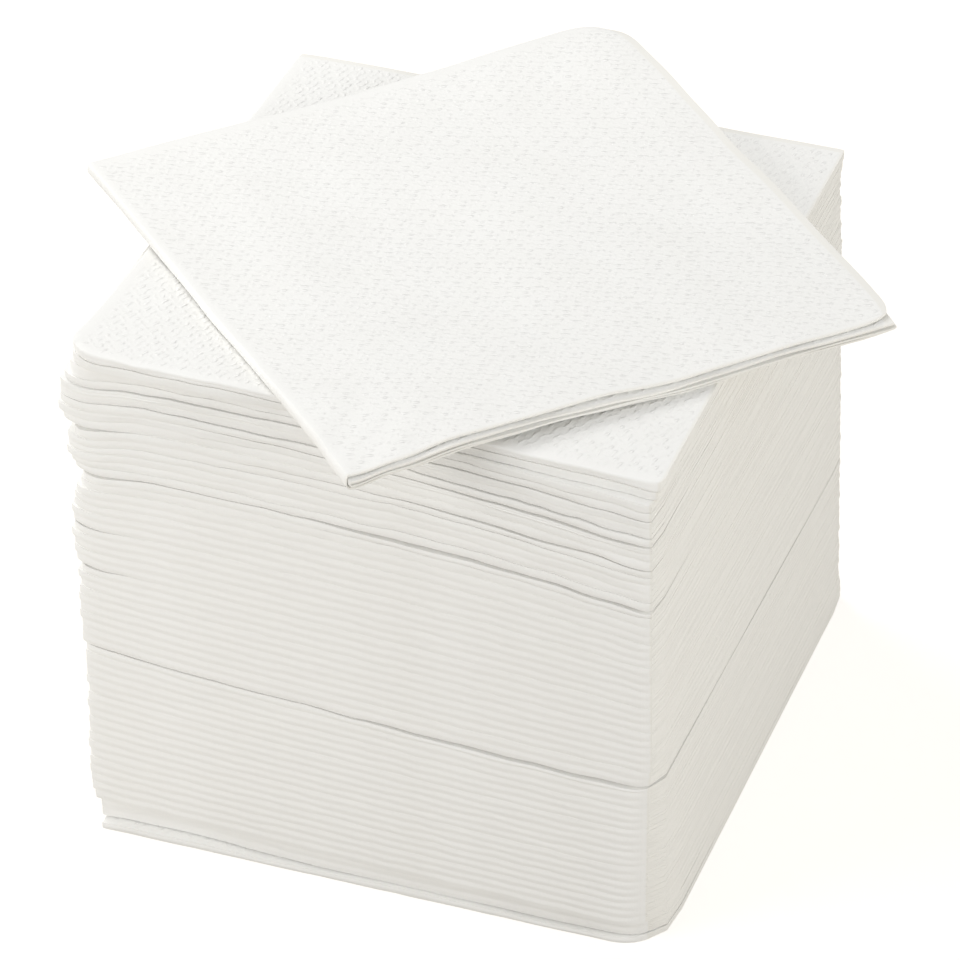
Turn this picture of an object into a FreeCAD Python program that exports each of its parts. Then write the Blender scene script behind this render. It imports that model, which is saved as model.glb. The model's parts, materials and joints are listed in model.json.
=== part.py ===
import FreeCAD, Part
import math
import os

import Sketcher

# A free-standing stack of quarter-folded paper napkins, with one more napkin lying turned on top.
# Millimetres. Z is up, and the origin is the middle of the lowest napkin's underside.
# A napkin is one square sheet folded twice. The first fold, the crease, faces -X and makes a pair of
# leaves. The second fold, the spine, faces -Y and wraps that pair round to four leaves. The sheet's
# own edges, the open edges, face +X and +Y.

# Driving dimensions: name, value and what it is
SIZES = [
    ("folded_side", 165.0, "side of the folded napkin, half of the sheet's"),
    ("leaf_thickness", 0.6, "one leaf of embossed tissue, pressed by the stack"),
    ("leaf_gap", 0.06, "opening between the two leaves of a pair"),
    ("pair_gap", 0.08, "opening between the upper and the lower pair"),
    ("loose_leaf_thickness", 0.84, "one leaf of the turned napkin, which nothing presses"),
    ("loose_leaf_gap", 0.12, "opening between the turned napkin's leaves"),
    ("loose_pair_gap", 0.16, "opening between the turned napkin's pairs"),
    ("crease_depth", 0.7, "length over which a crease narrows to its tip"),
    ("crease_pinch", 1.6, "distance from the crease's tip to where its leaves part"),
    ("leaf_step", 0.9, "how far one leaf of a pair ends short of the other"),
    ("edge_stray", 0.8, "how far the far open edge of some napkins ends short"),
    ("napkin_clearance", 0.03, "least height between one napkin and the next"),
    ("bundle_gap", 0.2, "extra height between one bundle and the next"),
    ("fall_across", 2.0, "how far the stack's top falls from the crease side to the open side"),
    ("fall_back", 7.0, "how far it falls from the spine side to the far side"),
    ("low_stray", 0.15, "how far a napkin low in the stack strays sideways"),
    ("high_stray", 0.55, "how far a napkin high in the stack strays sideways"),
    ("turned_angle", -43.22, "degrees that the top napkin is turned"),
    ("turned_across", 5.8, "how far right of the stack's middle it lies"),
    ("turned_back", 2.6, "how far behind the stack's middle it lies"),
]

# The bundles from the bottom up: napkins, shift to the right, shift back and degrees of turn.
# Each was put down by hand, a little out of line with the one below.
BUNDLES = [
    (3, 0.0, 0.0, -0.2),
    (18, -0.5, 0.0, -1.6),
    (22, -0.6, 0.2, -1.5),
    (7, -0.8, 0.4, -1.2),
    (7, -1.5, 0.3, -1.6),
    (2, 1.3, -0.2, 0.1),
]

# Which leaf of the pair ends short, outer or inner, as shares of leaf_step, repeated up the stack
LEAF_ENDS = [(0.0, 1.0), (0.8, 0.0), (0.0, 0.5), (1.0, 0.2)]
# Shares of edge_stray, repeated up the stack
FAR_EDGES = [0.0, 0.6, 0.25, 1.0, 0.4]
# Degrees by which a napkin lies askew in its bundle, at most
ASKEW = 0.15
# Turn of the direction that a napkin strays in, from one napkin to the next, in radians
STRAY_TURN = 2.4
# Inside the spine the leaves bend in four equal turns. This share of a flat's height is its half.
BEND_SHARE = math.tan(math.radians(22.5))

doc = FreeCAD.newDocument("napkin_stack")


def make_sheet():
    sheet = doc.addObject("Spreadsheet::Sheet", "Sizes")
    for row, (name, value, meaning) in enumerate(SIZES, start=1):
        sheet.set(f"A{row}", str(value))
        sheet.setAlias(f"A{row}", name)
        sheet.set(f"B{row}", meaning)
    doc.recompute()
    return sheet


def value_of(terms):
    """The length that the terms add up to: each is a size's name and how many of it."""
    return sum(count * sheet.get(name) for name, count in terms.items())


def formula_of(terms):
    """The same sum, written for a binding to the sheet."""
    return " + ".join(f"{count} * Sizes.{name}" for name, count in terms.items())


def plus(*several):
    """One set of terms from several."""
    total = {}
    for terms in several:
        for name, count in terms.items():
            total[name] = total.get(name, 0) + count
    return total


def times(count, terms):
    return {name: count * share for name, share in terms.items()}


def minus(terms):
    return times(-1, terms)


class Paper:
    """Heights over the napkin's middle plane, for the leaves of one kind of napkin."""

    def __init__(self, leaf, gap, pair_gap):
        self.inner_low = {pair_gap: 0.5}
        self.inner_high = plus(self.inner_low, {leaf: 1})
        self.crease = plus(self.inner_high, {gap: 0.5})
        self.outer_low = plus(self.inner_high, {gap: 1})
        self.outer_high = plus(self.outer_low, {leaf: 1})


def origin_plane(body, role):
    return next(o for o in body.Origin.OriginFeatures if o.Role == role)


def add_sketch(body, name, plane, loops, start=None):
    """A sketch of closed loops. A corner is terms along the sketch's two axes, and a loop's corner
    marked True begins a half circle about the origin's vertical axis. start shifts the sketch."""
    sketch = body.newObject("Sketcher::SketchObject", name)
    sketch.AttachmentSupport = (origin_plane(body, plane), [""])
    sketch.MapMode = "FlatFace"
    if start:
        sketch.setExpression("AttachmentOffset.Base.z", formula_of(start))
    for loop in loops:
        add_loop(sketch, loop)
    sketch.Visibility = False
    return sketch


def add_loop(sketch, loop):
    points = [FreeCAD.Vector(value_of(x), value_of(y), 0) for x, y, *_ in loop]
    first = sketch.GeometryCount
    count = len(loop)
    edges = []
    for i, corner in enumerate(loop):
        if True in corner:
            circle = Part.Circle(FreeCAD.Vector(), FreeCAD.Vector(0, 0, 1), points[i].y)
            edges.append(Part.ArcOfCircle(circle, math.pi / 2, 3 * math.pi / 2))
        else:
            edges.append(Part.LineSegment(points[i], points[(i + 1) % count]))
    sketch.addGeometry(edges)
    rules = [
        Sketcher.Constraint("Coincident", first + i, 2, first + (i + 1) % count, 1)
        for i in range(count)
    ]
    rules += [
        Sketcher.Constraint("PointOnObject", first + i, 3, -2)
        for i, corner in enumerate(loop)
        if True in corner
    ]
    sketch.addConstraint(rules)
    for i, (x, y, *_) in enumerate(loop):
        place_corner(sketch, "DistanceX", -2, first + i, x)
        place_corner(sketch, "DistanceY", -1, first + i, y)


def place_corner(sketch, kind, axis, corner, terms):
    """Ties one corner to the sheet, or puts it on the axis if there are no terms."""
    if not terms:
        sketch.addConstraint(Sketcher.Constraint("PointOnObject", corner, 1, axis))
        return
    index = sketch.addConstraint(Sketcher.Constraint(kind, -1, 1, corner, 1, value_of(terms)))
    sketch.setExpression(f"Constraints[{index}]", formula_of(terms))


def add_pad(body, name, sketch, length, backwards=False):
    pad = body.newObject("PartDesign::Pad", name)
    pad.Profile = sketch
    pad.setExpression("Length", formula_of(length))
    pad.Reversed = backwards
    return pad


def bend_inside(height):
    """The corners of a bend from the height above the middle plane to the same height below."""
    near = times(-BEND_SHARE, height)
    return [
        (near, height),
        (minus(height), minus(near)),
        (minus(height), near),
        (near, minus(height)),
    ]


def outside(paper, far):
    """The napkin's skin round the spine, from the upper far edge to the lower one."""
    high = paper.outer_high
    return [(far, high), ({}, high, True), ({}, minus(high)), (far, minus(high))]


def between_pairs(paper, far):
    """The opening between the pairs, from the lower far edge round to the upper one."""
    low = paper.inner_low
    return [(far, minus(low)), ({}, minus(low)), ({}, low), (far, low)]


def make_napkin(name, paper, leaf_ends, far_edge):
    """One napkin in its own frame: the crease's tip at x = 0 and the spine bent round the X axis."""
    body = doc.addObject("PartDesign::Body", name)
    body.Label = name
    far = plus({"folded_side": 1, "edge_stray": -far_edge}, minus(paper.outer_high))
    pinch = {"crease_pinch": 1}
    outer_short, inner_short = leaf_ends

    # Behind the crease the leaves are pressed together
    section = outside(paper, far) + between_pairs(paper, far)
    pressed = add_sketch(body, f"{name}_pressed", "YZ_Plane", [section], {"crease_depth": 1})
    add_pad(body, f"{name}_pressed_pad", pressed, plus(pinch, {"crease_depth": -1}))

    opening = [(far, minus(paper.outer_low))]
    opening += reversed(bend_inside(paper.outer_low))
    opening += [(far, paper.outer_low)]
    outer = add_sketch(
        body, f"{name}_outer", "YZ_Plane", [outside(paper, far) + opening], pinch
    )
    outer_length = {"folded_side": 1, "crease_pinch": -1, "leaf_step": -outer_short}
    add_pad(body, f"{name}_outer_pad", outer, outer_length)

    skin = [(far, paper.inner_high)] + bend_inside(paper.inner_high)
    skin += [(far, minus(paper.inner_high))]
    inner = add_sketch(
        body, f"{name}_inner", "YZ_Plane", [skin + between_pairs(paper, far)], pinch
    )
    inner_length = {"folded_side": 1, "crease_pinch": -1, "leaf_step": -inner_short}
    add_pad(body, f"{name}_inner_pad", inner, inner_length)

    depth = {"crease_depth": 1}
    upper = [(depth, paper.inner_low), ({}, paper.crease), (depth, paper.outer_high)]
    lower = [(x, minus(z)) for x, z in upper]
    crease = add_sketch(body, f"{name}_crease", "XZ_Plane", [upper, lower])
    add_pad(body, f"{name}_crease_pad", crease, far, backwards=True)
    return body


def put_down(body, paper, middle, slope, turn):
    """Lays a napkin with its middle at a point of its middle plane, leaning and turned."""
    lean = FreeCAD.Rotation(
        FreeCAD.Vector(0, 0, 1), FreeCAD.Vector(-slope[0], -slope[1], 1)
    )
    spin = FreeCAD.Rotation(FreeCAD.Vector(0, 0, 1), turn)
    half = sheet.get("folded_side") / 2
    own_middle = FreeCAD.Vector(half, half - value_of(paper.outer_high), 0)
    placed = FreeCAD.Placement(middle, lean.multiply(spin))
    body.Placement = placed.multiply(FreeCAD.Placement(-own_middle, FreeCAD.Rotation()))


def farthest_corner():
    """How far from the stack's middle, along X or Y, a shifted and turned napkin can reach."""
    half = sheet.get("folded_side") / 2
    shift = max(max(abs(across), abs(back)) for _, across, back, _ in BUNDLES)
    turn = math.radians(max(abs(turn) for _, _, _, turn in BUNDLES) + ASKEW)
    return shift + sheet.get("high_stray") + half * (1 + math.sin(turn))


def stack_up():
    """All the napkins, from the bottom up."""
    pressed = Paper("leaf_thickness", "leaf_gap", "pair_gap")
    loose = Paper("loose_leaf_thickness", "loose_leaf_gap", "loose_pair_gap")
    steps = sum(count for count, _, _, _ in BUNDLES) - 1
    slope_step = (
        -sheet.get("fall_across") / sheet.get("folded_side") / steps,
        -sheet.get("fall_back") / sheet.get("folded_side") / steps,
    )
    leaning = farthest_corner() * (abs(slope_step[0]) + abs(slope_step[1]))
    rise = 2 * value_of(pressed.outer_high) + sheet.get("napkin_clearance") + leaning
    low = sheet.get("low_stray")
    high = sheet.get("high_stray")

    napkins = []
    height = value_of(pressed.outer_high)
    slope = (0.0, 0.0)
    for bundle, (count, across, back, turn) in enumerate(BUNDLES):
        if bundle:
            height += sheet.get("bundle_gap")
        for _ in range(count):
            number = len(napkins)
            if number:
                height += rise
                slope = (number * slope_step[0], number * slope_step[1])
            stray = low + (high - low) * number / steps
            angle = STRAY_TURN * number
            x = across + stray * math.cos(angle)
            y = back + stray * math.sin(angle)
            body = make_napkin(
                f"napkin_{number + 1:02d}",
                pressed,
                LEAF_ENDS[number % len(LEAF_ENDS)],
                FAR_EDGES[number % len(FAR_EDGES)],
            )
            middle = FreeCAD.Vector(x, y, height + slope[0] * x + slope[1] * y)
            put_down(body, pressed, middle, slope, turn + ASKEW * math.sin(2 * angle))
            napkins.append(body)

    height += value_of(pressed.outer_high) + sheet.get("napkin_clearance")
    height += value_of(loose.outer_high)
    top = make_napkin("turned_napkin", loose, (0.0, 1.0), 0.0)
    x = sheet.get("turned_across")
    y = sheet.get("turned_back")
    middle = FreeCAD.Vector(x, y, height + slope[0] * x + slope[1] * y)
    put_down(top, loose, middle, slope, sheet.get("turned_angle"))
    napkins.append(top)
    return napkins


def check(bodies):
    for thing in doc.Objects:
        if "Invalid" in thing.State or "Error" in thing.State:
            raise RuntimeError(f"{thing.Label} is {thing.State}")
    for body in bodies:
        if body.Shape.isNull() or not body.Shape.isValid():
            raise RuntimeError(f"{body.Label} has no valid shape")
        if len(body.Shape.Solids) != 1:
            raise RuntimeError(f"{body.Label} is not one solid")


sheet = make_sheet()
napkins = stack_up()
doc.recompute()
check(napkins)

os.makedirs("parts", exist_ok=True)
for body in napkins:
    body.Shape.exportStep(f"parts/{body.Label}.step")
print(f"{len(napkins)} napkins, top at {max(b.Shape.BoundBox.ZMax for b in napkins):.2f} mm")
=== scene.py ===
import json
import math

import bpy
import numpy as np
from mathutils import Matrix, Vector

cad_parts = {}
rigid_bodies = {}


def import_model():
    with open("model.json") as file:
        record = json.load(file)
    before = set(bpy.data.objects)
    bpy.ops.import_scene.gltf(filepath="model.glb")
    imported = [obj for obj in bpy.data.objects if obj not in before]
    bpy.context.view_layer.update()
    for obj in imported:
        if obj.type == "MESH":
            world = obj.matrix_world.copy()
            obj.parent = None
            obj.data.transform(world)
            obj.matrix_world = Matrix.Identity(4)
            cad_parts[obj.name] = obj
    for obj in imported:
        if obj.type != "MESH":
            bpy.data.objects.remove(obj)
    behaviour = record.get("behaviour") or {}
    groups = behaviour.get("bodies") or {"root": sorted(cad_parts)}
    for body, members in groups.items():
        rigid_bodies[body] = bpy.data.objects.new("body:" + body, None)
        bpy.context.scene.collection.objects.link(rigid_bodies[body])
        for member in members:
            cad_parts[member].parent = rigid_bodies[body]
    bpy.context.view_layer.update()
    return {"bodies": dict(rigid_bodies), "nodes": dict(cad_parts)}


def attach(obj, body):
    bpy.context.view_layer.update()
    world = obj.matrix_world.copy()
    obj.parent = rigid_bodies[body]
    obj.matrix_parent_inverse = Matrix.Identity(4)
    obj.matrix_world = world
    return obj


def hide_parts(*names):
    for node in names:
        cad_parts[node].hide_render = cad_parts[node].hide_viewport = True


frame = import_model()

# A stack of quarter-folded paper napkins, with one more lying turned on top. Metres.
# Each napkin is one closed mesh of its whole sheet: the sheet's two skins, its four cut rims,
# the crease that faces -X and the spine that faces -Y and wraps the leaves round to four.
# The frame's own napkins give each one its place, lean, turn and thickness. What is added here is
# how paper lies: every boundary between two napkins is one shared, gently uneven surface.

MM = 0.001
SIDE = 165 * MM
HALF = SIDE / 2

# Camera, set from the corners of the stack and of the turned napkin
AIM = Vector((1.5, 3.7, 81.3)) * MM
AZIMUTH = math.radians(20.81)
ELEVATION = math.radians(37.81)
ROLL = math.radians(-1.69)
DISTANCE = 1.884
LENS = 251.8

# How many faces run along a leaf, across it, and round the spine and the crease
STACKED_GRID = {"along": 46, "across": 12, "spine": 8, "crease": 4}
TOP_GRID = {"along": 50, "across": 30, "spine": 8, "crease": 4}
TURNED_GRID = {"along": 56, "across": 56, "spine": 10, "crease": 6}

# How far the crease's nose reaches, as a share of a leaf pair's thickness, and half the paper that
# goes round it
CREASE_LENGTH = 0.9
CREASE_HALF = 0.3 * MM

# The middles of the outer and the inner leaf above a napkin's own middle, and a leaf's thickness, all
# as shares of the napkin's thickness
OUTER_LEAF = 0.375
INNER_LEAF = 0.125
LEAF = 0.25

# How far from the open edges the leaves thin and part, and how much they drift there
OPEN_REACH = 2.5 * MM
OPEN_DRIFT = 0.11

# How wide the dent along the middle of a spine is, as an angle round it
DENT_WIDTH = 0.3

# How many napkins are stacked, and the shares of the stack's height between which they go from
# pressed to loose
COUNT = 59
LOOSE_FROM = 0.6
LOOSE_BY = 0.9

# Counted from 0, the napkins below number LOWEST lie apart from the rest, and the ones from number
# TOPMOST on are the topmost
LOWEST = 3
TOPMOST = 57

# How far the boundaries between the stacked napkins lie above the frame's flat ones, in mm, at shares
# of the stack's height: at its corners, each named by the two sides that meet there, and what its
# middle adds, which is more at the front than at the back
LIFT_SHARES = [0, 0.37, 0.75, 1]
CORNER_LIFTS = {
    (-1, -1): [0, 3.2, 3.8, 3.4],
    (1, -1): [0, -1.6, -0.4, -0.9],
    (1, 1): [0, -5.0, -1.0, 3.4],
    (-1, 1): [0, 0.0, 0.0, 0.2],
}
MIDDLE_SHARES = [0, 0.37, 0.75, 0.93, 1]
MIDDLE_LIFTS = [0, -1.1, 2.5, 2.0, 0.2]
MIDDLE_FORWARD = 0.2

# How far past the stack's faces the boundaries go on changing, in halves of its side
BEYOND = 1.1

# The boundaries' waves, in mm: where the stack is pressed, what is added where it is loose, and the
# share of its height over which they grow in
BROAD_WAVE = (0.2, 0.35, 0.25)
MIDDLING_WAVE = (0.05, 0.25, 0.1)
OWN_WAVE = (0.05, 0.12, 0.05)
RIM_WAVE = (0.2, 0, 0.03)

# How far behind the stack's front the rim's wave and the seams reach
RIM_REACH = 6 * MM

# Where the stack parts a little: after so many napkins, by so many mm at the left and the right end of
# its front. Elsewhere the loose napkins part by no more than SLIT mm. Along the right face the lower
# seams run on, and the upper ones close over a share of it. GAPE is how uneven they are.
SEAMS = {
    1: (0.9, 0.6),
    3: (0.3, 0.2),
    22: (0.7, 1.3),
    44: (0.7, 1.2),
    49: (0.1, 0.7),
    52: (0.1, 0.8),
    53: (0.6, 0.3),
    55: (0.8, 0.3),
    57: (0.2, 0.2),
}
SLIT = 0.14
GAPE = 0.4
LOWER_SEAMS = 40
UPPER_RUN = 0.12

# After how many napkins the corner of crease and spine gapes, and how much. It bends down under the
# notch and up over it, and the napkins draw in on both sides: mm, and the count of napkins over which
# that fades.
NOTCHES = {32: 0.5, 37: 0.3, 44: 0.9, 50: 1.0, 57: 1.0}
BEND_UNDER = (-1.8, 2)
BEND_OVER = (1.0, 1.5)
TUCK_UNDER = (4.5, 0.8)
TUCK_OVER = (0.7, 0.8)
NOTCH_REACH = (5 * MM, 12 * MM)

# How far that corner droops, in mm, after so many napkins, and how far from it
DROOP_AFTER = [30, 44, 48, 56, 57.5, 59]
DROOPS = [0, 1.8, 3.0, 2.6, 0.3, 0]
DROOP_REACH = (13 * MM, 16 * MM)

# How far the crease sways to the right and the corner flares to the left, in mm, at shares of the
# stack's height. The corner also draws back, in two steps that each grow in between two such shares.
# The reaches say how far from the crease and from the spine all this goes.
SWAY_SHARES = [0, 0.13, 0.25, 0.36, 0.42, 0.5, 0.63, 0.72, 0.8]
SWAYS = [0.3, -1.0, 0, 0.4, -0.4, -0.4, -1.6, 0.6, 0]
SWAY_LOWEST = 0.8
SWAY_REACH = 30 * MM
FLARE_SHARES = [0, 0.05, 0.5, 0.6, 0.7, 0.75, 0.78, 0.87, 0.94, 0.965, 1]
FLARES = [0.7, 1.8, 2.2, 3.2, 2.4, 2.6, 5.0, 5.2, 4.0, 2.5, 3.4]
FLARE_REACH = (7 * MM, 14 * MM)
CUT_IN_LOW = (0.8, 0, 0.15)
CUT_IN_HIGH = (2.7, 0.4, 0.65)
CUT_IN_REACH = (11 * MM, 14 * MM)

# The second and third napkin's fronts lie back, the most at this distance from the crease
RECESS = 3.0 * MM
RECESS_AT = 20 * MM
RECESS_WIDE = 30 * MM
RECESS_LEAST = 0.3
RECESS_REACH = 6 * MM

# The topmost napkins' creases lean to the right, in mm: how much more at the back, and how much less
# all over
TOPMOST_LEAN = 4.0
TOPMOST_BACK = 1.8

# Where the stack's faces lie, in mm: its open ends at the front, and at the back at shares of its
# height, and its spines at their left and right ends, for the lowest napkins, the rest and the topmost
NEAR_FACE = 83.0
FAR_FACE_SHARES = [0, 0.7, 1]
FAR_FACES = [84.2, 84.0, 83.2]
SPINES_LOWEST = (-82.2, -82.8)
SPINES = (-80.2, -84.6)
SPINES_TOPMOST = (-82.9, -81.9)
SPINE_REACH = 15 * MM

# What a stacked napkin has where the stack is pressed, and what is added where it is loose: how nearly
# its edges keep to the stack's faces, the depth of its rounded spine, the waves of that spine and the
# unevenness of its ends, all but the first in mm
EVENNESS = (0.95, -0.2)
NOSE = (0.22, 0.18)
TOP_NOSE = 0.7
FRONT_WAVE = (0.08, 0.17)
FRONT_REACH = 5 * MM
END_STRAY = (0.03, 0.03)

# The radius, in mm, of the front corners at the crease and at the open ends, at shares of the height
CREASE_CORNER = ([0, 0.15, 0.96, 0.98], [1, 3.5, 3.5, 7])
OPEN_CORNER = ([0, 0.3, 0.36, 0.42, 1], [16, 11, 10, 5, 3])
FAR_CORNER = 2

# The turned napkin, in mm: how far its corners at the start and at the front of its spine droop and
# within what distance, how far it lies up outside the stack, its waves, how far its front edge rises,
# what is added toward the spine and taken off toward the far corner, and its clearance
START_DROOP = 1.8
FRONT_DROOP = 2.8
TURNED_DROOP_REACH = 22 * MM
OUTSIDE = 0.5
OUTSIDE_FROM = 60 * MM
OUTSIDE_BY = 110 * MM
TILT_ACROSS = -0.02
TILT_BACK = 0.018
TURNED_WAVE = 0.15
FRONT_FROM = 0.65
FRONT_RISE = 2.0
FRONT_RISE_SPINE = 1.8
FRONT_DIP_FAR = 0.6
FRONT_GROWN = 0.3
UNEVEN = 0.04
CLEARANCE = 0.2


def smooth(low, high, value):
    """0 below low, 1 above high and an even ramp between."""
    t = np.clip((value - low) / (high - low), 0, 1)
    return t * t * (3 - 2 * t)


def looseness(share):
    """0 where the stack is pressed and 1 where it lies loose."""
    return smooth(LOOSE_FROM, LOOSE_BY, share)


def graded(pair, loose):
    """The first of a pair where the stack is pressed, and the second added where it is loose."""
    return pair[0] + pair[1] * loose


def faded(pair, steps):
    """The first of a pair, fading over as many steps as the second says."""
    return pair[0] * math.exp(-steps / pair[1])


class Ripple:
    """A seeded, smooth, irregular wave over any number of coordinates, usually within -1 to 1."""

    def __init__(self, seed, shortest, longest, count=9, axes=2):
        random = np.random.default_rng(seed)
        direction = random.normal(size=(count, axes))
        direction /= np.linalg.norm(direction, axis=1, keepdims=True)
        length = shortest * (longest / shortest) ** random.random(count)
        self.wave = direction * (2 * math.pi / length)[:, None]
        self.phase = random.random(count) * 2 * math.pi
        self.weight = np.sqrt(length / length.max())
        self.weight /= np.sqrt((self.weight**2).sum() / 2) * 1.6

    def __call__(self, *coordinates):
        total = 0
        for wave, phase, weight in zip(self.wave, self.phase, self.weight):
            along = sum(step * c for step, c in zip(wave, coordinates))
            total = total + weight * np.cos(along + phase)
        return total


class Lie:
    """Where a napkin of the frame lies: its corner at the crease and spine, its three directions,
    how far it reaches along them, and its middle plane."""

    def __init__(self, name):
        mesh = frame["nodes"][name].data
        points = np.array([v.co for v in mesh.vertices])
        best = max(mesh.polygons, key=lambda p: p.area * max(p.normal.z, 0))
        ring = [points[i] for i in best.vertices]
        edges = [ring[i] - ring[i - 1] for i in range(len(ring))]
        edges = sorted(edges, key=np.linalg.norm)[:2]
        along = max(edges, key=lambda e: abs(e[0]))
        along = along / np.linalg.norm(along)
        self.x = along if along[0] > 0 else -along
        self.z = np.array(best.normal)
        self.y = np.cross(self.z, self.x)
        reach = points @ np.array([self.x, self.y, self.z]).T
        low = reach.min(0)
        high = reach.max(0)
        self.long, self.wide, self.thick = high - low
        self.corner = low[0] * self.x + low[1] * self.y + (low[2] + high[2]) / 2 * self.z

    def height(self, x, y):
        """The middle plane's height over a point of the floor."""
        fall = (x - self.corner[0]) * self.z[0] + (y - self.corner[1]) * self.z[1]
        return self.corner[2] - fall / self.z[2]


class Pile:
    """The shared surfaces between the stacked napkins, number 0 under the lowest."""

    def __init__(self, lies):
        self.lies = lies
        self.slits = np.random.default_rng(6).uniform(0, SLIT, COUNT + 1)
        self.broad = Ripple(3, 60 * MM, 170 * MM, axes=3)
        self.middling = Ripple(4, 28 * MM, 70 * MM, axes=3)
        self.gape = Ripple(5, 40 * MM, 120 * MM, axes=3)
        self.own = [Ripple(100 + i, 22 * MM, 70 * MM) for i in range(COUNT + 1)]
        self.wobble = [Ripple(300 + i, 9 * MM, 30 * MM, axes=1) for i in range(COUNT + 1)]
        self.front = [Ripple(2000 + i, 10 * MM, 60 * MM, axes=1) for i in range(COUNT + 1)]

    def flat(self, number, x, y):
        """Surface number of the frame: halfway between the napkins under and over it."""
        heights = []
        if number > 0:
            under = self.lies[number - 1]
            heights.append(under.height(x, y) + under.thick / 2)
        if number < COUNT:
            over = self.lies[number]
            heights.append(over.height(x, y) - over.thick / 2)
        return sum(heights) / len(heights)

    def lift(self, number, napkin, x, y):
        """How far surface number lies above the frame's, for the napkin on it or under it. The two
        differ where the stack parts."""
        share = number / COUNT
        loose = looseness(share)
        z = 2 * SIDE * share
        across = np.clip(x / HALF, -BEYOND, BEYOND)
        back = np.clip(y / HALF, -BEYOND, BEYOND)
        left = np.clip(x + HALF, 0, None)
        near = np.clip(y + HALF, 0, None)

        middle = np.interp(share, MIDDLE_SHARES, MIDDLE_LIFTS)
        lift = middle * (1 - across**2) * (1 - MIDDLE_FORWARD * back)
        for (side_x, side_y), lifts in CORNER_LIFTS.items():
            part = (1 + side_x * across) * (1 + side_y * back) / 4
            lift = lift + np.interp(share, LIFT_SHARES, lifts) * part

        rim = np.exp(-near / RIM_REACH)
        waves = [
            (BROAD_WAVE, self.broad(x, y, z)),
            (MIDDLING_WAVE, self.middling(x, y, z)),
            (OWN_WAVE, self.own[number](x, y)),
            (RIM_WAVE, self.wobble[number](x) * rim),
        ]
        for wave, shape in waves:
            lift = lift + shape * graded(wave, loose) * smooth(0, wave[2], share)

        corner = np.exp(-((left / DROOP_REACH[0]) ** 2)) * np.exp(-((near / DROOP_REACH[1]) ** 2))
        lift = lift - np.interp(number, DROOP_AFTER, DROOPS) * corner

        tip = np.exp(-left / NOTCH_REACH[0]) * np.exp(-near / NOTCH_REACH[1])
        for notch, size in NOTCHES.items():
            if napkin < notch:
                bend = faded(BEND_UNDER, notch - number)
            else:
                bend = faded(BEND_OVER, number - notch)
            lift = lift + size * bend * tip

        if napkin < number < COUNT:
            slit = self.slits[number] * loose
            at_left, at_right = SEAMS.get(number, (slit, slit))
            along = np.clip(left / SIDE, 0, 1)
            edge = np.exp(-np.clip(np.minimum(near, HALF - x), 0, None) / RIM_REACH)
            reach = SIDE if number < LOWER_SEAMS else UPPER_RUN * SIDE
            wide = (at_left + (at_right - at_left) * along) * np.exp(-near / reach)
            lift = lift - wide * edge * (1 + GAPE * self.gape(x, y, z))
        return lift * MM


def path_along(grid):
    """The stations of one leaf pair's skins along X: from the outer leaf's end to the crease and
    back out along the inner leaf. Each is x as a share of the leaf, the angle round the crease and
    +1, 0 or -1 for outer leaf, crease and inner leaf."""
    t = np.linspace(0, 1, grid["along"] + 1)
    share = 0.5 * t + 0.25 * (1 - np.cos(math.pi * t))
    bend = np.linspace(math.pi / 2, -math.pi / 2, grid["crease"] + 1)[1:-1]
    x = np.concatenate([share[::-1], np.zeros(len(bend)), share])
    angle = np.concatenate([np.full(len(share), math.pi / 2), bend, np.full(len(share), -math.pi / 2)])
    return x, angle


def path_across(grid):
    """The same along Y: from the upper far edge to the spine and back along the lower leaves."""
    t = np.linspace(0, 1, grid["across"] + 1)
    share = 0.5 * t + 0.25 * (1 - np.cos(math.pi * t))
    bend = np.linspace(math.pi / 2, -math.pi / 2, grid["spine"] + 1)[1:-1]
    y = np.concatenate([share[::-1], np.zeros(len(bend)), share])
    angle = np.concatenate([np.full(len(share), math.pi / 2), bend, np.full(len(share), -math.pi / 2)])
    return y, angle


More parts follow.
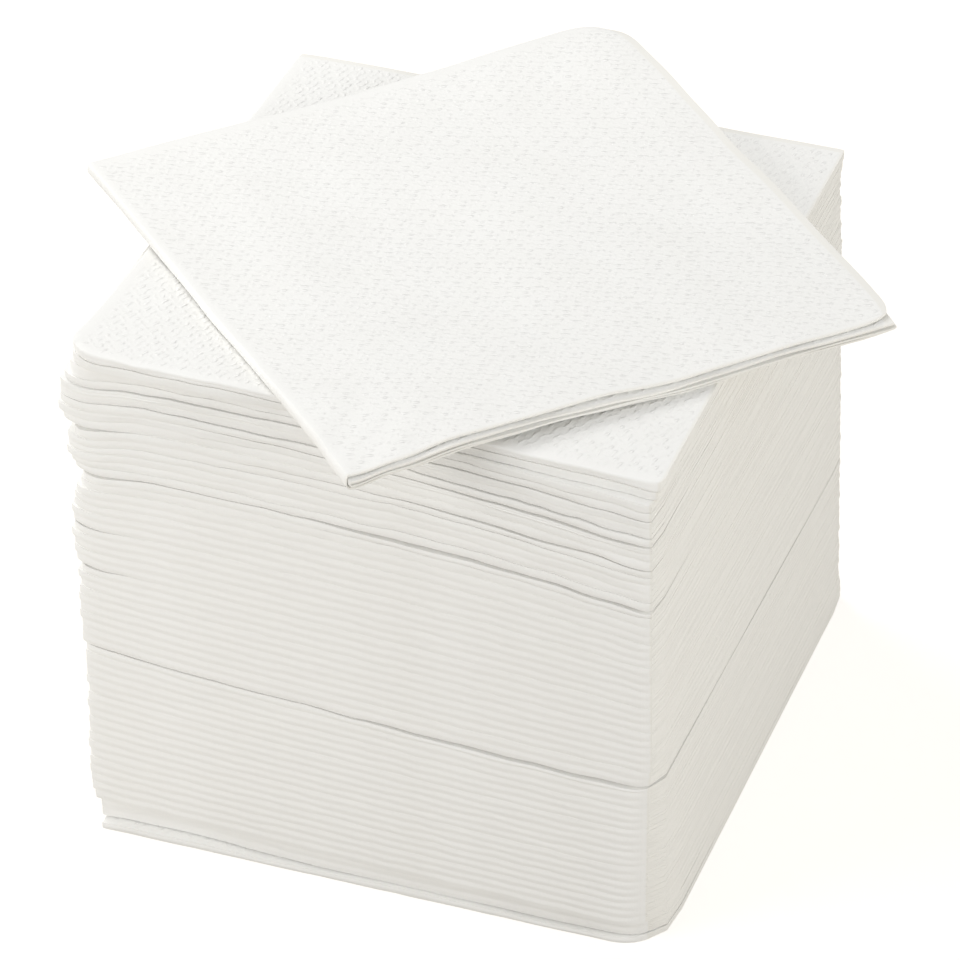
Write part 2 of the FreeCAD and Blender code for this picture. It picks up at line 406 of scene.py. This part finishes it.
class Napkin:
    """One napkin's sheet, folded twice, in its own frame and then laid between two surfaces."""

    def __init__(self, name, lie, grid, seed, looks):
        self.name = name
        self.lie = lie
        self.grid = grid
        self.looks = looks
        self.seed = seed

    def skins(self):
        """Two grids of points, one for each side of the sheet. The first axis goes round the spine,
        the second round the crease. The last axis is x, y and the height over the middle plane as a
        share of the napkin's half thickness."""
        looks = self.looks
        half_thick = self.lie.thick / 2
        share_x, crease_angle = path_along(self.grid)
        share_y, spine_angle = path_across(self.grid)
        crease_out = np.cos(crease_angle)
        crease_high = np.sin(crease_angle)
        if looks["round_nose"]:
            spine_out = np.cos(spine_angle)
        else:
            spine_out = np.cos(math.pi / 2 * np.sin(spine_angle)) ** 2
        spine_high = np.sin(spine_angle)
        crease_length = CREASE_LENGTH * half_thick / 2
        nose_length = looks["nose"]

        outer = crease_angle > 0
        round_crease = np.where(np.abs(crease_angle) < 1.5, 1, 0)
        on_leaves = np.abs(spine_angle) > 1.5707
        rows = len(share_y)
        columns = len(share_x)
        y_flat = nose_length + share_y * (self.lie.wide - nose_length)

        # Leaf ends: each of the four ends where its own line says
        end = np.zeros((rows, columns))
        for which, mask in enumerate((outer, ~outer)):
            for side in (0, 1):
                line = Ripple(self.seed * 10 + which * 2 + side, 20 * MM, 90 * MM, axes=1)
                amount = line(y_flat) * looks["end_stray"] + looks["ends"][which * 2 + side]
                blend = 0.5 + 0.5 * (2 * side - 1) * np.sin(spine_angle)
                end += np.outer(amount * blend, mask)
        x = crease_length + share_x[None, :] * (self.lie.long - crease_length + end)
        x = x - crease_length * crease_out[None, :]

        far = Ripple(self.seed * 10 + 5, 20 * MM, 90 * MM, axes=1)
        wide = self.lie.wide + far(share_x * self.lie.long)[None, :] * looks["end_stray"]
        wide = wide - np.where(outer, 0.0, looks["far_step"])[None, :]
        y_flat = nose_length + share_y[:, None] * (wide - nose_length)

        # Leaf thickness: thinner at the cut edges, where the leaves also part a little
        to_end = np.clip((1 - share_x) * self.lie.long, 0, None)[None, :]
        to_far = (1 - share_y[:, None]) * self.lie.wide
        open_edge = np.maximum(np.exp(-to_end / OPEN_REACH), np.exp(-to_far / OPEN_REACH))
        leaf = (LEAF - looks["leaf_gap"]) * (1 - looks["edge_thin"] * open_edge)
        drift = Ripple(self.seed * 10 + 7, 14 * MM, 60 * MM, axes=2)
        drift_of = [drift(y_flat + 3 * MM * k, x * 0.3 + 40 * MM * k) for k in range(4)]
        slack = looks["edge_thin"] * OPEN_DRIFT * open_edge

        skins = []
        leaf_half = leaf / 2
        for skin in (1, -1):
            outer_height = OUTER_LEAF + skin * leaf_half
            inner_height = INNER_LEAF - skin * leaf_half
            middle = (outer_height + inner_height) / 2
            reach = (outer_height - inner_height) / 2
            rho = middle + reach * crease_high[None, :]
            shift = np.where(spine_angle[:, None] >= 0, 1, 0)
            shift = shift * np.where(outer, drift_of[0], drift_of[1]) + (1 - shift) * np.where(
                outer, drift_of[2], drift_of[3]
            )
            rho = np.maximum(2 * (rho + shift * slack), 0.02)
            tip = crease_length * (1 - np.abs(reach) / LEAF)
            xs = x + round_crease[None, :] * tip * crease_out[None, :]
            dent = looks["dent"] * np.exp(-((spine_angle / DENT_WIDTH) ** 2))
            round_spine = nose_length * (1 - rho * spine_out[:, None]) + dent[:, None]
            ys = np.where(on_leaves[:, None], y_flat, round_spine)
            z = rho * spine_high[:, None]
            skins.append(np.stack([xs, ys, z], axis=2))
        return skins

    def sheet_coordinates(self):
        """Where each grid point is on the flat sheet, in metres."""
        share_x, crease_angle = path_along(self.grid)
        share_y, spine_angle = path_across(self.grid)
        u = SIDE + np.sign(crease_angle) * (share_x * SIDE + CREASE_HALF)
        v = SIDE + np.sign(spine_angle) * share_y * SIDE + np.sin(spine_angle) * self.lie.thick / 2
        return np.meshgrid(u, v)


def rounded(x, y, long, corners):
    """Draws corners of the plan in. corners holds, for each corner, its x and y as 0 or 1 shares of
    the side, and the radius."""
    for at_x, at_y, radius in corners:
        from_x = np.clip(np.abs(x - at_x * long) / radius, 0, 1)
        from_y = np.clip(np.abs(y - at_y * SIDE) / radius, 0, 1)
        pull = 0.3 * radius * (1 - from_x) ** 2 * (1 - from_y) ** 2
        x = x + pull * (1 - 2 * at_x)
        y = y + pull * (1 - 2 * at_y)
    return x, y


def make_mesh(name, skins, coordinates):
    """One closed mesh from the sheet's two skins and its rims."""
    rows, columns, _ = skins[0].shape
    size = rows * columns
    points = np.concatenate([s.reshape(-1, 3) for s in skins])
    index = np.arange(size).reshape(rows, columns)
    a = index[:-1, :-1].ravel()
    b = index[:-1, 1:].ravel()
    c = index[1:, 1:].ravel()
    d = index[1:, :-1].ravel()
    faces = [np.stack([a, d, c, b], axis=1), np.stack([a, b, c, d], axis=1) + size]
    for rim in (index[0, :], index[:, -1], index[-1, ::-1], index[::-1, 0]):
        near = rim[:-1]
        far = rim[1:]
        faces.append(np.stack([near, far, far + size, near + size], axis=1))
    faces = np.concatenate(faces)
    mesh = bpy.data.meshes.new(name)
    mesh.vertices.add(len(points))
    mesh.vertices.foreach_set("co", points.ravel())
    mesh.loops.add(faces.size)
    mesh.loops.foreach_set("vertex_index", faces.ravel().astype(np.int32))
    mesh.polygons.add(len(faces))
    mesh.polygons.foreach_set("loop_start", np.arange(0, faces.size, 4, dtype=np.int32))
    mesh.update(calc_edges=True)
    u, v = coordinates
    flat = np.stack([np.tile(u.ravel(), 2), np.tile(v.ravel(), 2)], axis=1)
    layer = mesh.uv_layers.new(name="sheet")
    layer.data.foreach_set("uv", flat[faces.ravel()].ravel())
    mesh.polygons.foreach_set("use_smooth", np.ones(len(faces), bool))
    mesh.set_sharp_from_angle(angle=math.radians(50))
    mesh.validate()
    return mesh


def corner_of(lie, at_x, at_y):
    """A corner of the napkin in plan, at shares 0 or 1 of its length and width."""
    return lie.corner + at_x * lie.long * lie.x + at_y * lie.wide * lie.y


def evened(number, lie, x, y, amount):
    """Brings the napkin's ends and its spine nearer to the stack's own faces."""
    share = number / COUNT
    far_face = np.interp(share, FAR_FACE_SHARES, FAR_FACES) * MM
    spines = SPINES
    if number < LOWEST:
        spines = SPINES_LOWEST
    if number >= TOPMOST:
        spines = SPINES_TOPMOST
    back = y / lie.wide
    out = (1 - back) * max(NEAR_FACE * MM - corner_of(lie, 1, 0)[0], 0)
    out = out + back * amount * (far_face - corner_of(lie, 1, 1)[0])
    along = x / lie.long
    forward = (1 - along) * (spines[0] * MM - corner_of(lie, 0, 0)[1])
    forward = forward + along * (spines[1] * MM - corner_of(lie, 1, 0)[1])
    return x + out * along, y + amount * forward * np.exp(-y / SPINE_REACH)


def grown(rise, share):
    """The first of three values, grown in between the other two shares of the height."""
    return rise[0] * smooth(rise[1], rise[2], share)


def lay_stacked(number, pile):
    """A stacked napkin, counted from 0."""
    lie = pile.lies[number]
    random = np.random.default_rng(500 + number)
    share = (number + 0.5) / COUNT
    loose = looseness(share)
    highest = number == COUNT - 1
    looks = {
        "nose": (TOP_NOSE if highest else graded(NOSE, loose)) * MM,
        "round_nose": highest,
        "dent": random.uniform(0.15, 0.4) * loose * MM,
        "leaf_gap": 0.004,
        "edge_thin": 0.04,
        "end_stray": graded(END_STRAY, loose) * MM,
        "far_step": 0.3 * MM,
        "ends": random.uniform(-0.05, 0.03, 4) * MM,
    }
    grid = STACKED_GRID if number < TOPMOST else TOP_GRID
    napkin = Napkin(f"napkin_{number + 1:02d}", lie, grid, 1000 + number, looks)
    corners = [
        (0, 0, np.interp(share, *CREASE_CORNER) * MM),
        (1, 0, np.interp(share, *OPEN_CORNER) * MM),
        (1, 1, FAR_CORNER * MM),
        (0, 1, FAR_CORNER * MM),
    ]
    tuck = 0
    for notch, size in NOTCHES.items():
        if number < notch:
            tuck += size * faded(TUCK_UNDER, notch - number - 1)
        else:
            tuck += size * faded(TUCK_OVER, number - notch)
    flare = np.interp(share, FLARE_SHARES, FLARES)
    sway = np.interp(share, SWAY_SHARES, SWAYS)
    if number >= LOWEST:
        sway += SWAY_LOWEST * math.exp((LOWEST - number) / 2)
    cut_in = (grown(CUT_IN_LOW, share) + grown(CUT_IN_HIGH, share)) * MM
    recess = RECESS if 0 < number < LOWEST else 0
    laid = []
    for skin in napkin.skins():
        x, y, high = skin[..., 0], skin[..., 1], skin[..., 2]
        x, y = rounded(x, y, lie.long, corners)
        x, y = evened(number, lie, x, y, graded(EVENNESS, loose))
        level = 0.5 + 0.5 * high
        front = (1 - level) * pile.front[number](x) + level * pile.front[number + 1](x)
        y = y + front * graded(FRONT_WAVE, loose) * MM * np.exp(-y / FRONT_REACH)
        most = np.exp(-(((x - RECESS_AT) / RECESS_WIDE) ** 2))
        back = RECESS_LEAST + (1 - RECESS_LEAST) * most
        y = y + recess * back * np.exp(-y / RECESS_REACH)
        to_corner = np.clip(1 - x / CUT_IN_REACH[0], 0, 1) ** 2
        y = y + cut_in * to_corner * np.exp(-y / CUT_IN_REACH[1])
        at_corner = np.exp(-x / FLARE_REACH[0]) * np.exp(-y / FLARE_REACH[1])
        x = x + (tuck - flare) * MM * at_corner
        x = x + sway * MM * np.exp(-x / SWAY_REACH)
        if number >= TOPMOST:
            x = x + (TOPMOST_LEAN * y / SIDE - TOPMOST_BACK) * MM * (1 - x / lie.long)
        plan_x = lie.corner[0] + lie.x[0] * x + lie.y[0] * y
        plan_y = lie.corner[1] + lie.x[1] * x + lie.y[1] * y
        bottom = pile.flat(number, plan_x, plan_y) + pile.lift(number, number, plan_x, plan_y)
        top = pile.flat(number + 1, plan_x, plan_y) + pile.lift(number + 1, number, plan_x, plan_y)
        z = bottom + (top - bottom) * level
        laid.append(np.stack([plan_x, plan_y, z], axis=2))
    return napkin, laid


def lay_turned(lie, pile):
    """The turned napkin, resting on the stack's top."""
    looks = {
        "nose": 1.0 * MM,
        "round_nose": True,
        "dent": 0,
        "leaf_gap": 0.03,
        "edge_thin": 0.5,
        "end_stray": 0.2 * MM,
        "far_step": 1.2 * MM,
        "ends": np.array([-0.8, -1.4, 0.2, 0.0]) * MM,
    }
    napkin = Napkin("turned_napkin", lie, TURNED_GRID, 9000, looks)
    wave = Ripple(77, 50 * MM, 130 * MM)
    fine = Ripple(78, 12 * MM, 40 * MM)
    laid = []
    for skin in napkin.skins():
        x, y, high = skin[..., 0], skin[..., 1], skin[..., 2]
        top_leaf = smooth(0.3, 0.5, high)
        far_corner = (2 + 8 * top_leaf) * MM
        corners = [(0, 0, 1.5 * MM), (1, 0, 2 * MM), (1, 1, far_corner), (0, 1, 17 * MM)]
        x, y = rounded(x, y, lie.long, corners)
        plan_x = lie.corner[0] + lie.x[0] * x + lie.y[0] * y
        plan_y = lie.corner[1] + lie.x[1] * x + lie.y[1] * y
        flat = lie.height(plan_x, plan_y)
        on_x = np.clip(plan_x, -HALF, HALF)
        on_y = np.clip(plan_y, -HALF, HALF)
        under = pile.lift(COUNT, COUNT - 1, on_x, on_y)
        tilt = TILT_ACROSS * plan_x + TILT_BACK * plan_y
        out = smooth(OUTSIDE_FROM, OUTSIDE_BY, np.hypot(plan_x, plan_y))
        from_start = np.hypot(x, y) / TURNED_DROOP_REACH
        from_front = np.hypot(lie.long - x, y) / TURNED_DROOP_REACH
        droop = START_DROOP * np.exp(-(from_start**2)) + FRONT_DROOP * np.exp(-(from_front**2))
        raised = under + (tilt + OUTSIDE * MM) * out + (TURNED_WAVE * wave(x, y) - droop) * MM
        front = smooth(FRONT_FROM, 1, x / lie.long)
        along = y / lie.wide
        rise = FRONT_RISE + FRONT_RISE_SPINE * (1 - smooth(0.15, 0.6, along))
        rise = rise - FRONT_DIP_FAR * smooth(0.7, 1, along)
        raised = raised + rise * MM * front
        thicker = FRONT_GROWN * lie.thick * front
        thick = lie.thick * (1 + UNEVEN * fine(x, y)) + thicker
        z = flat + raised + thick / 2 * high - thicker / 2 + CLEARANCE * MM
        laid.append(np.stack([plan_x, plan_y, z], axis=2))
    return napkin, laid


class Tree:
    """A material's nodes, made and joined in one line each."""

    def __init__(self, name):
        self.material = bpy.data.materials.new(name)
        self.material.use_nodes = True
        self.nodes = self.material.node_tree.nodes
        self.links = self.material.node_tree.links
        self.shader = self.nodes["Principled BSDF"]
        self.out = self.nodes["Material Output"]

    def add(self, kind, settings=(), **inputs):
        node = self.nodes.new(kind)
        for key, value in dict(settings).items():
            setattr(node, key, value)
        for key, value in inputs.items():
            self.put(node.inputs[key.replace("_", " ")], value)
        return node

    def put(self, socket, value):
        if isinstance(value, bpy.types.NodeSocket):
            self.links.new(value, socket)
        else:
            socket.default_value = value

    def math(self, operation, first, second=None, third=None):
        node = self.nodes.new("ShaderNodeMath")
        node.operation = operation
        for socket, value in zip(node.inputs, (first, second, third)):
            if value is not None:
                self.put(socket, value)
        return node.outputs[0]

    def ramp(self, value, low, high):
        node = self.nodes.new("ShaderNodeMapRange")
        node.interpolation_type = "SMOOTHSTEP"
        self.put(node.inputs["Value"], value)
        node.inputs["From Min"].default_value = low
        node.inputs["From Max"].default_value = high
        return node.outputs["Result"]


# Directions in degrees from the crease-to-open-edge line, spacings in mm and weights of the rows that
# the embossed dashes lie on
DOT_ROWS = [(50, 1.78, 0.7), (132, 1.78, 0.9), (170, 1.78, 1.3), (30, 2.35, 0.6), (151, 2.35, 1.5)]

# The paper's relief, as shares of its depth: what is pressed in and what its fibres add. Pressing
# grows in between the first two distances from a fold, and over the third from a cut edge.
RELIEF = 0.12 * MM
PRESSED = -2.2
FIBRES = 0.25
FOLD_PLAIN = 1.5 * MM
FOLD_PRESSED = 4.5 * MM
EDGE_PLAIN = 2 * MM

# The paper's darker and lighter tone, and its darker, warmer tone within a small distance of a cut
# edge, which is partly the cut fibres' own tone and partly painted shade of the gaps between the
# leaves
PAPER_DARK = (0.9, 0.892, 0.862, 1)
PAPER_LIGHT = (0.925, 0.92, 0.895, 1)
PAPER_CUT_AND_SHADE = (0.885, 0.87, 0.82, 1)
CUT_WIDTH = 0.8 * MM

FLOOR_COLOUR = (0.58, 0.55, 0.5, 1)
FLOOR_WHITE = 0.6
WORLD_STRENGTH = 0.56

# Name, place, size in m and power in W of each lamp
LAMPS = [
    ("top", (-0.5, 0.28, 0.82), 0.5, 3.0),
    ("front", (-0.62, -0.68, 0.46), 0.5, 3.25),
    ("right", (1.2, -0.3, 0.5), 0.7, 5.5),
]


def tissue():
    """White paper with embossed dashes, plain near its folds and darker at its cut edges, where the
    darkening is partly painted shade between the leaves.
    """
    tree = Tree("tissue")
    place = tree.add("ShaderNodeTexCoord").outputs["UV"]
    rows = None
    for angle, spacing, weight in DOT_ROWS:
        turn = 2 * math.pi / (spacing * MM)
        heading = math.radians(angle)
        dot = tree.add("ShaderNodeVectorMath", {"operation": "DOT_PRODUCT"})
        tree.put(dot.inputs[0], place)
        dot.inputs[1].default_value = (turn * math.cos(heading), turn * math.sin(heading), 0)
        wave = tree.math("MULTIPLY", tree.math("COSINE", dot.outputs["Value"]), weight)
        rows = wave if rows is None else tree.math("ADD", rows, wave)
    noise = "ShaderNodeTexNoise"
    plane = {"noise_dimensions": "2D"}
    patchy = tree.add(noise, plane, Vector=place, Scale=420.0, Detail=1.0).outputs["Fac"]
    broad = tree.add(noise, plane, Vector=place, Scale=60.0, Detail=2.0).outputs["Fac"]
    dashes = tree.ramp(rows, -1.0, 4.0)
    pressed = tree.math("MULTIPLY", dashes, tree.ramp(patchy, 0.2, 0.7))
    parts = tree.add("ShaderNodeSeparateXYZ", Vector=place)
    # rim is 1 within CUT_WIDTH of a cut edge. There the paper turns darker and warmer, partly from its
    # cut fibres and partly from painted shade between the leaves.
    rim = 0
    for axis in "XY":
        from_fold = tree.math("ABSOLUTE", tree.math("SUBTRACT", parts.outputs[axis], SIDE))
        rim = tree.math("MAXIMUM", rim, tree.ramp(from_fold, SIDE - CUT_WIDTH, SIDE))
        pressed = tree.math("MULTIPLY", pressed, tree.ramp(from_fold, FOLD_PLAIN, FOLD_PRESSED))
        pressed = tree.math("MULTIPLY", pressed, tree.ramp(from_fold, SIDE, SIDE - EDGE_PLAIN))
    fibre = tree.add(noise, plane, Vector=place, Scale=1500.0, Detail=3.0).outputs["Fac"]
    height = tree.math("MULTIPLY_ADD", fibre, FIBRES, tree.math("MULTIPLY", pressed, PRESSED))
    bump = tree.add("ShaderNodeBump", Strength=1.0, Distance=RELIEF, Height=height)
    tint = tree.add("ShaderNodeMix", {"data_type": "RGBA"}, Factor=broad)
    tint.inputs["A"].default_value = PAPER_DARK
    tint.inputs["B"].default_value = PAPER_LIGHT
    # Painted shade between the leaves, together with the cut fibres' own tone, on the cut edges
    cut_tone_and_shade = tree.add("ShaderNodeMix", {"data_type": "RGBA"}, Factor=rim)
    tree.put(cut_tone_and_shade.inputs["A"], tint.outputs["Result"])
    cut_tone_and_shade.inputs["B"].default_value = PAPER_CUT_AND_SHADE
    shader = tree.shader
    tree.put(shader.inputs["Base Color"], cut_tone_and_shade.outputs["Result"])
    tree.put(shader.inputs["Normal"], bump.outputs["Normal"])
    shader.inputs["Roughness"].default_value = 0.9
    shader.inputs["Specular IOR Level"].default_value = 0.25
    shader.inputs["Sheen Weight"].default_value = 0.05
    shader.inputs["Sheen Roughness"].default_value = 0.6
    return tree.material


def white_to_camera(tree, shader, strength):
    """Adds some plain white to what the camera sees of a surface."""
    rays = tree.add("ShaderNodeLightPath").outputs
    seen = tree.math("MAXIMUM", rays["Is Camera Ray"], rays["Is Glossy Ray"])
    seen = tree.math("MAXIMUM", seen, rays["Is Transmission Ray"])
    glow = tree.add("ShaderNodeEmission")
    glow.inputs["Color"].default_value = (1, 1, 1, 1)
    tree.put(glow.inputs["Strength"], tree.math("MULTIPLY", seen, strength))
    both = tree.add("ShaderNodeAddShader")
    tree.put(both.inputs[0], shader)
    tree.put(both.inputs[1], glow.outputs[0])
    tree.put(tree.out.inputs["Surface"], both.outputs[0])


def make_floor():
    mesh = bpy.data.meshes.new("floor")
    reach = 4.0
    corners = [(-reach, -reach, 0), (reach, -reach, 0), (reach, reach, 0), (-reach, reach, 0)]
    mesh.from_pydata(corners, [], [(0, 1, 2, 3)])
    floor = bpy.data.objects.new("floor", mesh)
    bpy.context.scene.collection.objects.link(floor)
    tree = Tree("floor")
    tree.shader.inputs["Base Color"].default_value = FLOOR_COLOUR
    tree.shader.inputs["Roughness"].default_value = 1.0
    tree.shader.inputs["Specular IOR Level"].default_value = 0.0
    white_to_camera(tree, tree.shader.outputs[0], FLOOR_WHITE)
    mesh.materials.append(tree.material)


def make_world():
    world = bpy.data.worlds.new("world")
    bpy.context.scene.world = world
    world.use_nodes = True
    nodes = world.node_tree.nodes
    background = nodes["Background"]
    background.inputs["Color"].default_value = (1.0, 1.0, 1.0, 1)
    background.inputs["Strength"].default_value = WORLD_STRENGTH


def make_lamp(name, place, size, power):
    light = bpy.data.lights.new(name, "AREA")
    light.shape = "DISK"
    light.size = size
    light.energy = power
    lamp = bpy.data.objects.new(name, light)
    lamp.location = place
    lamp.rotation_euler = (AIM - Vector(place)).to_track_quat("-Z", "Y").to_euler()
    bpy.context.scene.collection.objects.link(lamp)


def make_camera():
    flat = math.cos(ELEVATION)
    back = Vector((math.sin(AZIMUTH) * flat, -math.cos(AZIMUTH) * flat, math.sin(ELEVATION)))
    level = Vector((math.cos(AZIMUTH), math.sin(AZIMUTH), 0))
    upright = back.cross(level)
    right = math.cos(ROLL) * level + math.sin(ROLL) * upright
    up = math.cos(ROLL) * upright - math.sin(ROLL) * level
    camera = bpy.data.objects.new("camera", bpy.data.cameras.new("camera"))
    camera.data.sensor_width = 36
    camera.data.lens = LENS
    camera.data.clip_start = 0.1
    camera.data.clip_end = 20
    turn = Matrix((right, up, back)).transposed().to_4x4()
    camera.matrix_world = Matrix.Translation(AIM + DISTANCE * back) @ turn
    bpy.context.scene.collection.objects.link(camera)
    bpy.context.scene.camera = camera


def make_piece(napkin, skins, material, body):
    mesh = make_mesh(napkin.name + "_tissue", skins, napkin.sheet_coordinates())
    mesh.materials.append(material)
    piece = bpy.data.objects.new(napkin.name + "_tissue", mesh)
    bpy.context.scene.collection.objects.link(piece)
    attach(piece, body)
    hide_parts(napkin.name)


def main():
    make_camera()
    make_world()
    make_floor()
    for name, place, size, power in LAMPS:
        make_lamp(name, place, size, power)
    material = tissue()
    body = next(iter(frame["bodies"]))
    pile = Pile([Lie(f"napkin_{number + 1:02d}") for number in range(COUNT)])
    for number in range(COUNT):
        napkin, skins = lay_stacked(number, pile)
        make_piece(napkin, skins, material, body)
    napkin, skins = lay_turned(Lie("turned_napkin"), pile)
    make_piece(napkin, skins, material, body)
    bpy.context.scene.view_settings.view_transform = "Standard"


main()
